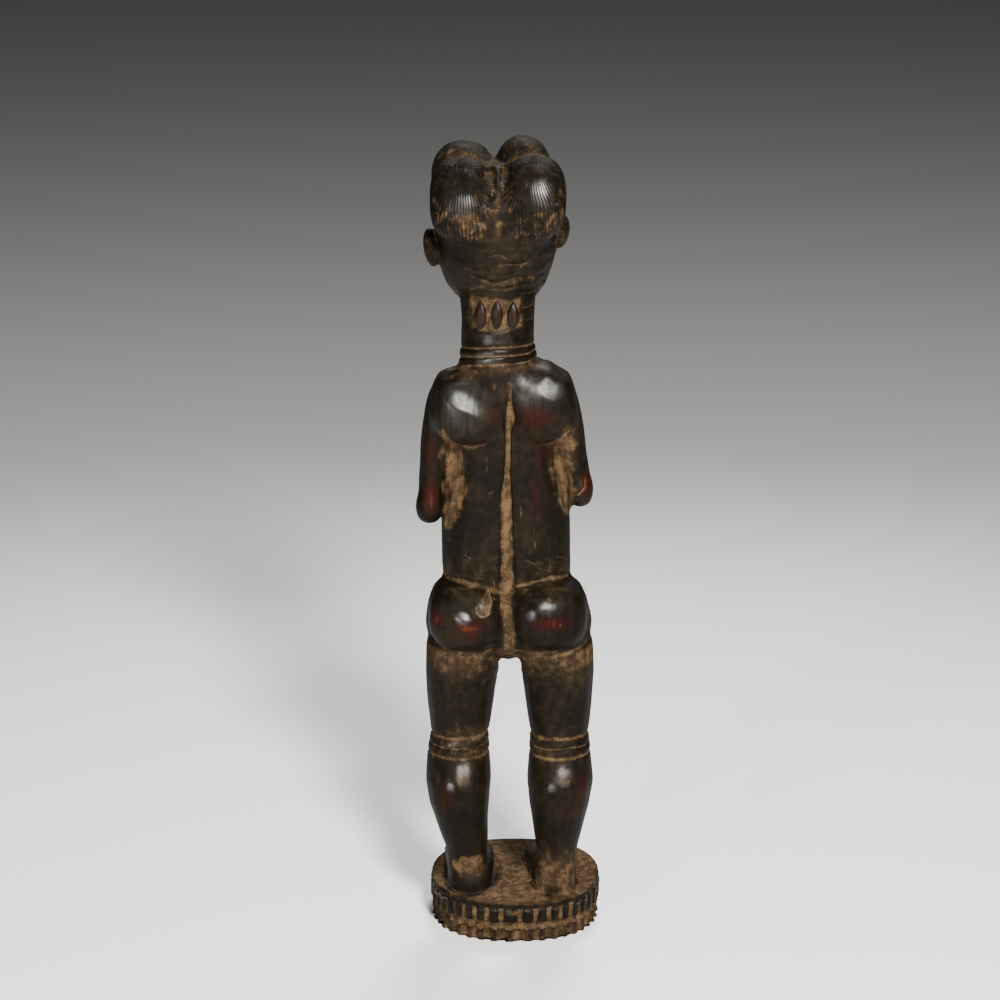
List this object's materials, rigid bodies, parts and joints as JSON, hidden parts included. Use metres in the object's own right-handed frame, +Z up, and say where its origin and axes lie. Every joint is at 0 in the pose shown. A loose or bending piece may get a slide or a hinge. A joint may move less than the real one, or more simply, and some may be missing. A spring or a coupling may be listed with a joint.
{
  "type": "baule standing figure",
  "caption": "Carved dark wooden figure of a standing person with lobed hair, ringed neck and banded knees, hands on the belly, cut in one with a round toothed plinth.",
  "frame": {"origin": "middle of the plinth's flat underside", "axes": "+Z up along the standing figure, -Y the way the figure faces, +X to the figure's own left"},
  "size_m": [0.0938, 0.0954, 0.4],
  "materials": {
    "carved_wood": "dark brown-black, hand-polished on the raised forms, matt and dusty in the hollows and on the plinth"
  },
  "bodies": {
    "root": {"carved_figure": "carved_wood"}
  },
  "joints": []
}
